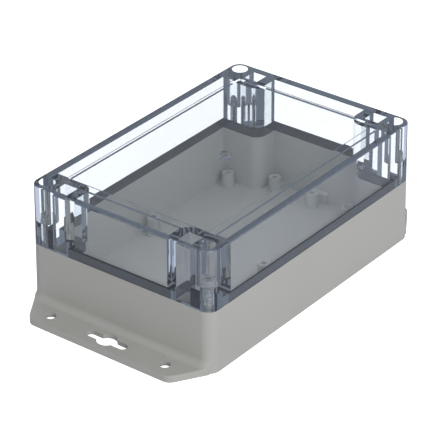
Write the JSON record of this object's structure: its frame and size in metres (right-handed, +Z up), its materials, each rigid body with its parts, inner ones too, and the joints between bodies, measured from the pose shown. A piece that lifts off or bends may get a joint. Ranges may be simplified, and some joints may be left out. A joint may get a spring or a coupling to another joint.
{
  "type": "polycarbonate enclosure",
  "caption": "Rectangular plastic enclosure with a clear screwed lid, a seal, board posts inside and wall flanges with keyholes on both short ends.",
  "frame": {"origin": "centre of the flat underside", "axes": "+X along the long side, from flange to flange; +Y along the short side; +Z up, from the underside to the lid"},
  "size_m": [0.217, 0.1208, 0.072],
  "materials": {
    "grey_polycarbonate": "fine moulded texture",
    "clear_polycarbonate": "clear and polished",
    "gasket_elastomer": "matt",
    "stainless_steel": "bright",
    "brass": "machined"
  },
  "bodies": {
    "base": {"enclosure_base": "grey_polycarbonate", "thread_insert_1": "brass", "thread_insert_2": "brass", "thread_insert_3": "brass", "thread_insert_4": "brass"},
    "lid": {"clear_lid": "clear_polycarbonate", "lid_gasket": "gasket_elastomer"},
    "washer_1": {"screw_washer_1": "stainless_steel"},
    "screw_1": {"lid_screw_1": "stainless_steel"},
    "washer_2": {"screw_washer_2": "stainless_steel"},
    "screw_2": {"lid_screw_2": "stainless_steel"},
    "washer_3": {"screw_washer_3": "stainless_steel"},
    "screw_3": {"lid_screw_3": "stainless_steel"},
    "washer_4": {"screw_washer_4": "stainless_steel"},
    "screw_4": {"lid_screw_4": "stainless_steel"}
  },
  "joints": [
    {"name": "lid_lift", "type": "slide", "parent": "base", "child": "lid", "axis": [0, 0, 1], "range_m": [0, 0.08]},
    {"name": "screw_1_rise", "type": "slide", "parent": "lid", "child": "washer_1", "axis": [0, 0, 1], "range_m": [0, 0.008]},
    {"name": "screw_1_turn", "type": "hinge", "parent": "washer_1", "child": "screw_1", "pos_m": [-0.0827, -0.0527, 0.0503], "axis": [0, 0, 1], "range_deg": [0, 4115]},
    {"name": "screw_2_rise", "type": "slide", "parent": "lid", "child": "washer_2", "axis": [0, 0, 1], "range_m": [0, 0.008]},
    {"name": "screw_2_turn", "type": "hinge", "parent": "washer_2", "child": "screw_2", "pos_m": [0.0827, -0.0527, 0.0503], "axis": [0, 0, 1], "range_deg": [0, 4115]},
    {"name": "screw_3_rise", "type": "slide", "parent": "lid", "child": "washer_3", "axis": [0, 0, 1], "range_m": [0, 0.008]},
    {"name": "screw_3_turn", "type": "hinge", "parent": "washer_3", "child": "screw_3", "pos_m": [0.0827, 0.0527, 0.0503], "axis": [0, 0, 1], "range_deg": [0, 4115]},
    {"name": "screw_4_rise", "type": "slide", "parent": "lid", "child": "washer_4", "axis": [0, 0, 1], "range_m": [0, 0.008]},
    {"name": "screw_4_turn", "type": "hinge", "parent": "washer_4", "child": "screw_4", "pos_m": [-0.0827, 0.0527, 0.0503], "axis": [0, 0, 1], "range_deg": [0, 4115]}
  ],
  "couplings": [
    {"joint": "screw_1_turn", "follows": "screw_1_rise", "rad_per_m": 8976},
    {"joint": "screw_2_turn", "follows": "screw_2_rise", "rad_per_m": 8976},
    {"joint": "screw_3_turn", "follows": "screw_3_rise", "rad_per_m": 8976},
    {"joint": "screw_4_turn", "follows": "screw_4_rise", "rad_per_m": 8976}
  ]
}
